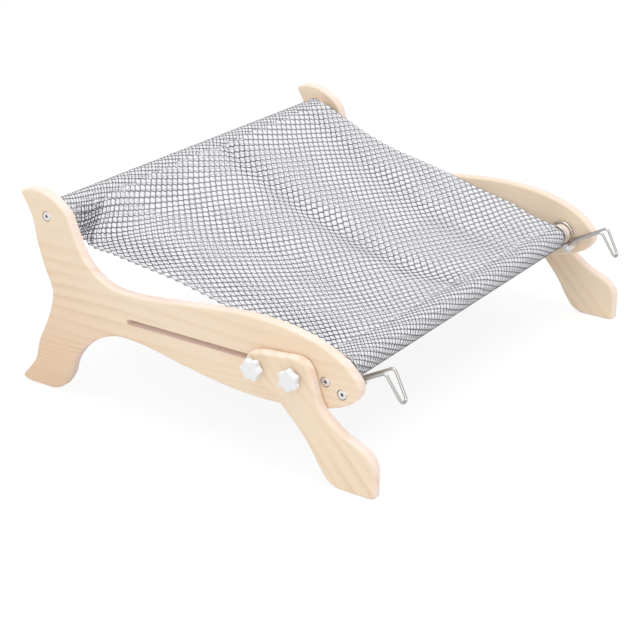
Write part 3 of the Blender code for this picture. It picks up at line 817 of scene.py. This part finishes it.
def knob_levels(turn):
    """A star knob's cross-sections, from the bottom of its bore to the middle of its crown."""
    top = KNOB_HUB_HEIGHT + KNOB_HEAD_HEIGHT
    hub, bored = circle(KNOB_HUB_RADIUS), circle(KNOB_BORE)
    levels = [(KNOB_BORE_DEPTH, bored), (0.0, bored), (0.0, circle(KNOB_HUB_RADIUS - HUB_EASE))]
    levels += [(HUB_EASE, hub), (KNOB_HUB_HEIGHT, hub)]
    for along, radius in reversed(rounded(KNOB_HUB_HEIGHT, KNOB_RADIUS, LOWER_EASE)):
        levels.append((2 * KNOB_HUB_HEIGHT - along, star(radius, turn)))
    upper = rounded(top - CROWN_HEIGHT, KNOB_RADIUS, UPPER_EASE, 6)
    upper += [(top - below, KNOB_RADIUS - inside) for below, inside in CROWN]
    return levels + [(along, star(radius, turn)) for along, radius in upper]


def make_knobs():
    for label, side in SIDES.items():
        for end, offset in ENDS.items():
            levels = knob_levels(math.radians(30) if end == "front" else 0.0)
            place = (side * KNOB_SEAT, SLOT_FRONT + offset - SETBACK, SLOT_HEIGHT)
            name = "knob_" + end + "_" + label
            piece = turned_piece("finished_" + name, levels, side, place, 96, 50)
            dress(piece, "knob_turner_" + end + "_" + label, WHITE, "white_plastic", name)


# Hooks
def rounded_corner(before, corner, after, radius, steps):
    """Points round a bend of that radius, in place of the corner."""
    back = (before - corner).normalized()
    ahead = (after - corner).normalized()
    half = math.acos(max(-1.0, min(1.0, back.dot(ahead)))) / 2
    centre = corner + (back + ahead).normalized() * (radius / math.sin(half))
    first = corner + back * (radius / math.tan(half)) - centre
    last = corner + ahead * (radius / math.tan(half)) - centre
    sweep = first.angle_signed(last)
    turns = [-sweep * k / steps for k in range(steps + 1)]
    return [centre + Matrix.Rotation(turn, 2) @ first for turn in turns]


def hook_path():
    """The whole wire: an eye, its strand and drop, round the tip, and back to the other eye."""
    leave = math.atan2(STRAND_START.y, STRAND_START.x)
    eye = [polar(leave + EYE_SWEEP * (1 - k / 40), EYE_RADIUS) for k in range(40)]
    bend = STRAND_START + STRAND * STRAND_LENGTH
    tip = bend + DROP * (DROP_LENGTH - TIP_GAP / 2)
    side_path = eye + [STRAND_START] + rounded_corner(STRAND_START, bend, tip, BEND_RADIUS, 10)
    path = [Vector((-STRAND_GAP / 2, p.x, p.y)) for p in side_path]
    for k in range(19):
        angle = math.pi * k / 18
        out = tip + DROP * (TIP_GAP / 2 * math.sin(angle))
        path.append(Vector((-TIP_GAP / 2 * math.cos(angle), out.x, out.y)))
    return path + [Vector((STRAND_GAP / 2, p.x, p.y)) for p in reversed(side_path)]


def make_hooks():
    path = hook_path()
    for label, side in SIDES.items():
        name = "hook_" + label
        curve = bpy.data.curves.new("finished_" + name, "CURVE")
        adjusted(curve, dimensions="3D", bevel_depth=WIRE_RADIUS, bevel_resolution=5)
        curve.use_fill_caps = True
        spline = curve.splines.new("POLY")
        spline.points.add(len(path) - 1)
        centre = Vector((side * HOOK_MIDDLE, FRONT_RAIL.x - SETBACK, FRONT_RAIL.y))
        for point, spot in zip(spline.points, path):
            point.co = (*(spot + centre), 1)
        piece = settle(link("finished_" + name, curve))
        piece.data.shade_smooth()
        dress(piece, "hook_swinger_" + label, WIRE, "bright_steel", name)


# The cloth
def bell(value, width):
    return math.exp(-(value / width) ** 2)


def droop(across):
    """Each place between the rails, and how far the cloth hangs below their line there."""
    left, right = bell(across + SLING_HALF, LEFT_WIDTH), bell(across - SLING_HALF, RIGHT_WIDTH)
    middle = 1 - left - right
    return [
        (place, LEFT_DROOP * a * left + RIGHT_DROOP * b * right + MIDDLE_DROOP * c * middle)
        for place, a, b, c in DROOP_SHARES
    ]


def fold(across, share):
    """How much further the cloth falls there: a crease that starts as a tight pucker at each rail,
    and soft ripples beside it."""
    crease = across - (CREASE_FRONT + (CREASE_REAR - CREASE_FRONT) * share)
    middle = math.sin(math.pi * share)
    deep = FOLD_DEPTH * bell(crease, CREASE_WIDTH) * middle
    pinched = sum(bell(share - place, reach) for place, reach in PUCKERS)
    for depth, offset, width in PUCKER_RELIEF:
        deep += pinched * depth * bell(crease + offset, width)
    ripple = 0.0
    for front, rear, reach, strength in RIPPLES:
        away = across - front - (rear - front) * share
        ripple += FOLD_DEPTH * strength * bell(away, reach)
    return deep * min(1.0, 30 * share * (1 - share)) + ripple * middle


def tangent_angle(point, turn):
    spread = math.acos(min(1.0, SLEEVE_RADIUS / point.length))
    return (math.atan2(point.y, point.x) + turn * spread) % (2 * math.pi)


def on_sleeve(centre, angle):
    return centre + polar(angle, SLEEVE_RADIUS)


def sleeve_arc(centre, first, last):
    turns = [first + (last - first) * k / SLEEVE_STEPS for k in range(SLEEVE_STEPS + 1)]
    return [on_sleeve(centre, turn) for turn in turns]


def along_path(points, reach, below):
    """The place at that reach along the points, and that far under them."""
    left = reach
    for here, there in zip(points, points[1:]):
        step = (there - here).length
        if left <= step:
            ahead = (there - here).normalized()
            down = Vector((ahead.y, -ahead.x))
            if down.y > 0:
                down = -down
            return here.lerp(there, left / step) + down * below
        left -= step
    return points[-1]


def sling_path(across):
    """The cloth's middle line there, from the front seam round both rails to the rear seam."""
    start, end = (rail + Vector((0, SLEEVE_RADIUS)) for rail in (FRONT_RAIL, REAR_RAIL))
    points = [start.lerp(end, place) - Vector((0, depth)) for place, depth in droop(across)]
    leave = tangent_angle(points[0] - FRONT_RAIL, 1)
    arrive = tangent_angle(points[-1] - REAR_RAIL, -1)
    stops = [on_sleeve(FRONT_RAIL, leave + 0.5), on_sleeve(FRONT_RAIL, leave)] + points
    stops += [on_sleeve(REAR_RAIL, arrive), on_sleeve(REAR_RAIL, arrive - 0.5)]
    span = []
    for k in range(1, len(stops) - 2):
        step = (stops[k + 1] - stops[k]).length / SPAN_STEPS
        span += spline_run(stops[k - 1:k + 3], step)[:SPAN_STEPS]
    span.append(stops[-2])
    total = len(span) - 1
    span = [point - Vector((0, fold(across, k / total))) for k, point in enumerate(span)]
    front_seam = along_path(span, SEAM_REACH, SEAM_BELOW)
    front_start = tangent_angle(front_seam - FRONT_RAIL, -1)
    rear_seam = along_path(span[::-1], SEAM_REACH, SEAM_BELOW)
    rear_stop = tangent_angle(rear_seam - REAR_RAIL, 1) - 2 * math.pi
    first = on_sleeve(FRONT_RAIL, front_start)
    path = [front_seam.lerp(first, k / SEAM_STEPS) for k in range(SEAM_STEPS)]
    path += sleeve_arc(FRONT_RAIL, front_start, leave)[:-1]
    path += span + sleeve_arc(REAR_RAIL, arrive, rear_stop)[1:]
    last = path[-1]
    return path + [last.lerp(rear_seam, k / SEAM_STEPS) for k in range(1, SEAM_STEPS + 1)]


def half_width(point):
    past = (point.x - FRONT_RAIL.x - SLEEVE_RADIUS) / TAPER
    share = max(0.0, min(1.0, past))
    return SLEEVE_HALF + (SLING_HALF - SLEEVE_HALF) * share * share * (3 - 2 * share)


def cloth_surface(name, reach):
    """The cloth's middle surface, that many rows to each side of its centre, of which CLOTH_ROWS
    reach the cut edge. Its UV map holds each point's place in the cut, in metres."""
    rows = range(-reach, reach + 1)
    paths = [sling_path(row / CLOTH_ROWS * SLING_HALF) for row in rows]
    count = len(paths[0])
    lengths = [0.0]
    for k in range(1, count):
        steps = [(path[k] - path[k - 1]).length for path in paths]
        lengths.append(lengths[-1] + sum(steps) / len(steps))
    widths = [half_width(point) for point in paths[reach]]
    verts, places = [], []
    for row, path in zip(rows, paths):
        left = [0.0]
        for k in reversed(range(count - 1)):
            left.append(left[-1] + (path[k + 1] - path[k]).length)
        for k, point in enumerate(path):
            across = row / CLOTH_ROWS * widths[k]
            verts.append((across, point.x - SETBACK, point.y))
            places.append((across, lengths[-1] - left[count - 1 - k]))
    starts = [row * count + k for row in range(2 * reach) for k in range(count - 1)]
    faces = [(a, a + count, a + count + 1, a + 1) for a in starts]
    data = bpy.data.meshes.new(name)
    data.from_pydata(verts, [], faces)
    layer = data.uv_layers.new(name="cloth")
    for loop in data.loops:
        layer.data[loop.index].uv = places[loop.vertex_index]
    data.shade_smooth()
    return link(name, data), lengths, widths


def cell_ring(reach, height, softness, size_share=1.0):
    """Eight points round a six-sided cell that fits its neighbours: its six corners and the middles
    of its two long sides. Softness pulls the corners in."""
    beside, below = Vector((CELL_STEP, CELL_SLANT)), Vector((0, -CELL_PITCH))
    side = CELL_SHORT_SIDE
    corners = [(below + side) / 2, (below - side) / 2, (below - beside * 2 + side) / 2]
    half = [beside / 2] + [corner * (1 - softness) for corner in corners]
    size = 2 * reach * size_share
    return [(spot.x * s, spot.y * s, height) for s in (size, -size) for spot in half]


def cell_mesh(name, rings, capped):
    """One cell's mesh from its rings, from the outside in, with a cap over the last or a hole."""
    faces = []
    for ring in range(len(rings) - 1):
        low, high = ring * 8, (ring + 1) * 8
        for k in range(8):
            j = (k + 1) % 8
            faces.append((low + j, low + k, high + k, high + j))
    if capped:
        faces.append([len(rings) * 8 - 8 + k for k in reversed(range(8))])
    data = bpy.data.meshes.new(name)
    data.from_pydata(sum(rings, []), [], faces)
    data.shade_smooth()
    return link(name, data)


def net_cells(name, thread, size_share):
    """A frame of thread round one rounded opening, for the cloth's inside and for its border."""
    cells = []
    for label, softness in (("_cell", 0.0), ("_border_cell", 0.10)):
        outer = cell_ring(0.5, 0.00036, softness, size_share)
        crown = cell_ring(0.5 - thread / 2, 0.00050, 0.02, size_share)
        inner = cell_ring(0.5 - thread, 0.00012, 0.08, size_share)
        cells.append(cell_mesh(name + label, [outer, crown, inner], False))
    return cells


def pad_cell_mesh():
    """The knitted pad that fills one opening: a low pillow with its side turned down."""
    sizes = ((0.484, -0.0003, 0.11), (0.476, 0.00012, 0.11), (0.30, 0.00040, 0.06))
    return cell_mesh("pad_cell", [cell_ring(*size) for size in sizes], True)


def position(tree):
    return node(tree, "GeometryNodeInputPosition")


def moved(geometry, **change):
    """The geometry with its points set to a new Position or by an Offset."""
    return node(geometry.tree, "GeometryNodeSetPosition", Geometry=geometry, **change)


def without(geometry, unwanted):
    """The geometry without the unwanted points."""
    inputs = {"Geometry": geometry, "Selection": unwanted}
    return node(geometry.tree, "GeometryNodeDeleteGeometry", domain="POINT", **inputs)


def cells_tree():
    """Sets one cell mesh on every place of the cloth's cut, then lays the lot on the cloth."""
    inputs = [
        ("Geometry", "Geometry"), ("Cell", "Object"), ("Border Cell", "Object"),
        ("Finish", "Material"), ("Columns", "Int"), ("Rows", "Int"),
    ]
    inputs += [(label, "Float") for label in (
        "Cell Step", "Cell Slant", "Cell Pitch", "Start", "End", "Start Slope", "End Slope",
        "Sleeve Half", "Sling Half", "Taper Start", "Taper End", "Lift", "Side", "Cloth Length",
        "Span",
    )]
    tree, given = group("cells_on_cloth", inputs, inputs[:1], "GeometryNodeTree")

    columns, rows = given["Columns"], given["Rows"]
    sizes = {"Size_X": columns - 1, "Size_Y": rows - 1, "Vertices_X": columns, "Vertices_Y": rows}
    grid = node(tree, "GeometryNodeMeshGrid", **sizes)["Mesh"]
    column, row, _ = split(position(tree))
    wrapped = (column * given["Cell Slant"]).maths("WRAP", given["Cell Pitch"], 0.0)
    middle = (given["Start"] + given["End"]) * 0.5
    along = row * given["Cell Pitch"] + wrapped + middle
    lattice = node(tree, "ShaderNodeCombineXYZ", column * given["Cell Step"], along)
    spread = moved(grid, Position=lattice)

    x, y, _ = split(pulled_place(tree, given))
    width = edge_place(given, y)
    before = y < given["Start"] + x * given["Start Slope"]
    after = y > given["End"] + x * given["End Slope"]
    kept = without(spread, (abs(x) > width) + before + after > 0.5)

    border = abs(x) > width - given["Cell Step"]
    joined = node(tree, "GeometryNodeJoinGeometry")
    for label, chosen in (("Cell", 1.0 - border), ("Border Cell", border)):
        cell = node(tree, "GeometryNodeObjectInfo", Object=given[label])["Geometry"]
        parts = {"Points": kept, "Selection": chosen, "Instance": cell}
        fill(joined.made, Geometry=node(tree, "GeometryNodeInstanceOnPoints", **parts))
    real = node(tree, "GeometryNodeRealizeInstances", joined)
    merged = node(tree, "GeometryNodeMergeByDistance", Geometry=real, Distance=0.00005)

    pulled = moved(merged, Position=pulled_place(tree, given))
    cloud = noise(position(tree), 26.0, noise_dimensions="2D")
    uneven = vector_maths(cloud["Color"], "SUBTRACT", (0.5, 0.5, 0.5))
    wavy = moved(pulled, Offset=vector_maths(uneven, "MULTIPLY", (WOBBLE, WOBBLE, 0.0)))

    place = position(tree)
    x, y, z = split(place)
    scallop = (y / SCALLOP_PITCH).maths("COSINE") * SCALLOP_DEPTH
    reach = edge_place(given, y) + EDGE_PAST + scallop
    held = abs(x).maths("MINIMUM", reach) * x.maths("SIGN")
    trimmed = moved(wavy, Position=node(tree, "ShaderNodeCombineXYZ", held, y, z))
    stored = node(
        tree, "GeometryNodeStoreNamedAttribute", data_type="FLOAT2", domain="CORNER",
        Geometry=trimmed, Name="cloth", Value=place,
    )

    stored_name = {"data_type": "FLOAT_VECTOR", "Name": "cloth"}
    cut_place = node(tree, "GeometryNodeInputNamedAttribute", **stored_name)["Attribute"]
    here = position(tree)
    on_guide = []
    for value in (position(tree), node(tree, "GeometryNodeInputNormal")):
        on_guide.append(node(
            tree, "GeometryNodeSampleUVSurface", data_type="FLOAT_VECTOR",
            Mesh=given["Geometry"], Value=value, UV_Map=cut_place, Sample_UV=here,
        ))
    spot, facing = on_guide
    _, _, height = split(here)
    lift = (height + given["Lift"]) * given["Side"]
    raised = vector_maths(facing["Value"], "SCALE", None, Scale=lift)
    on_cloth = moved(
        without(stored, spot["Is Valid"] < 0.5), Position=vector_maths(spot["Value"], "ADD", raised)
    )
    smooth = node(tree, "GeometryNodeSetShadeSmooth", on_cloth)
    paint = node(tree, "GeometryNodeSetMaterial", smooth, Material=given["Finish"])
    node(tree, "NodeGroupOutput", Geometry=paint)
    return tree


def edge_place(given, along):
    """How far from the middle the cut edge is, at that place along the cloth."""
    taper = (given["Taper Start"], given["Taper End"])
    return band(along, *taper, given["Sleeve Half"], given["Sling Half"])


def pulled_place(tree, given):
    """The position once the cloth is pulled tight: along the left free edge the cells are drawn out
    lengthways and narrowed, and in that side's rear corner they are gathered up."""
    x, y, z = split(position(tree))
    slack = NARROWING * PULL_WIDTH * BELL_AREA
    inwards = (x + (SLING_HALF + slack)) / PULL_WIDTH
    fade = 1.0 - (inwards * 1.2).maths("TANH")
    nearness = (inwards * inwards * -1.0).maths("EXPONENT")
    beyond = (y - given["Cloth Length"] * 0.5) / (given["Span"] * 0.5)
    share = beyond.maths("MINIMUM", 1.0).maths("MAXIMUM", -1.0)
    drawn = (share * math.pi).maths("SINE") * DRAWN_OUT
    bunched = band(beyond - GATHER_START, 0.0, 1.0 - GATHER_START, 0.0, GATHERED)
    ahead = drawn * nearness - bunched * nearness.maths("POWER", 5.0)
    return node(tree, "ShaderNodeCombineXYZ", x + fade * slack, y + ahead, z)


def lay_cells(name, tree, guide, cells, finish, values):
    """Runs the cell tree on a copy of the guide and keeps the outcome as a plain mesh."""
    holder = link(name, guide.data.copy())
    modifier = adjusted(holder.modifiers.new("cells", "NODES"), node_group=tree)
    items = tree.interface.items_tree
    idents = {item.name: item.identifier for item in items if item.in_out == "INPUT"}
    values = {"Cell": cells[0], "Border Cell": cells[1], "Finish": finish, **values}
    for label, value in values.items():
        modifier[idents[label]] = value
    piece = settle(holder)
    if values["Side"] < 0:
        piece.data.flip_normals()
    return piece


def make_cloth():
    guide, lengths, widths = cloth_surface("cloth_guide", CLOTH_ROWS + 3)
    base, _, _ = cloth_surface("sling_cloth", CLOTH_ROWS - 1)
    adjusted(base.modifiers.new("woven", "SOLIDIFY"), thickness=CLOTH_THICKNESS, offset=0.0)
    base = settle(base)
    dress(base, "frame", PAD, "mesh_cloth", "sling")

    total = lengths[-1]
    taper = [
        along for along, width in zip(lengths, widths)
        if SLEEVE_HALF + 1e-6 < width < SLING_HALF - 1e-6 and along > 2 * SEAM_REACH
    ]
    front_top = lengths[SEAM_STEPS + SLEEVE_STEPS]
    rear_top = lengths[-1 - SEAM_STEPS - SLEEVE_STEPS]
    common = {
        "Columns": 2 * int(SLING_HALF / CELL_STEP) + 13,
        "Rows": 2 * int(total / CELL_PITCH / 2) + 9,
        "Cell Step": CELL_STEP, "Cell Slant": CELL_SLANT, "Cell Pitch": CELL_PITCH,
        "Start": 0.003, "End": total - 0.003, "Start Slope": 0.0, "End Slope": 0.0,
        "Sleeve Half": SLEEVE_HALF - 0.0010, "Sling Half": SLING_HALF - 0.0006,
        "Taper Start": taper[0], "Taper End": taper[-1], "Lift": 0.0003, "Side": 1.0,
        "Cloth Length": total, "Span": rear_top - front_top,
    }
    hem = {label: int(common[label] / HEM_CELL_SHARE) + 1 for label in ("Columns", "Rows")}
    for label in ("Cell Step", "Cell Slant", "Cell Pitch"):
        hem[label] = common[label] * HEM_CELL_SHARE
    hem["Lift"] = 0.0001
    front_end, rear_start = front_top + FRONT_HEM, rear_top - REAR_HEM
    front_hem = {**hem, "End": front_end, "End Slope": HEM_SLOPE}
    rear_hem = {**hem, "Start": rear_start}
    between = {"Start": front_end, "Start Slope": HEM_SLOPE, "End": rear_start}
    corner = {**hem, "Start": rear_top + 0.129, "Start Slope": 0.80, "End": rear_start}
    corner["Lift"] = 0.0005
    below = {"Side": -1.0}

    net, small = net_cells("net", NET_THREAD, 1.0), net_cells("hem", HEM_THREAD, HEM_CELL_SHARE)
    pad = [pad_cell_mesh()] * 2
    tree = cells_tree()
    for name, cells, finish, changes in (
        ("sling_net_upper", net, NET, between),
        ("sling_pads_upper", pad, PAD, between),
        ("sling_net_lower", net, NET, below),
        ("sling_pads_lower", pad, PAD, below),
        ("sling_hem_front", small, HEM, front_hem),
        ("sling_hem_rear", small, HEM, rear_hem),
        ("sling_hem_corner", small, NET, corner),
    ):
        piece = lay_cells(name, tree, guide, cells, finish, {**common, **changes})
        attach(piece, "frame")
    for spare in (guide, *net, *small, pad[0]):
        bpy.data.objects.remove(spare)


def paint_nodes():
    """The solids that show as they are take their finish."""
    for name, shape in NODES.items():
        finish = PINE_RAIL if name.endswith("_rail") else BRASS if "insert" in name else STEEL
        for slot in shape.material_slots:
            slot.material = finish


make_camera()
make_stage()
paint_nodes()
make_boards()
make_bolts()
make_knobs()
make_hooks()
make_cloth()
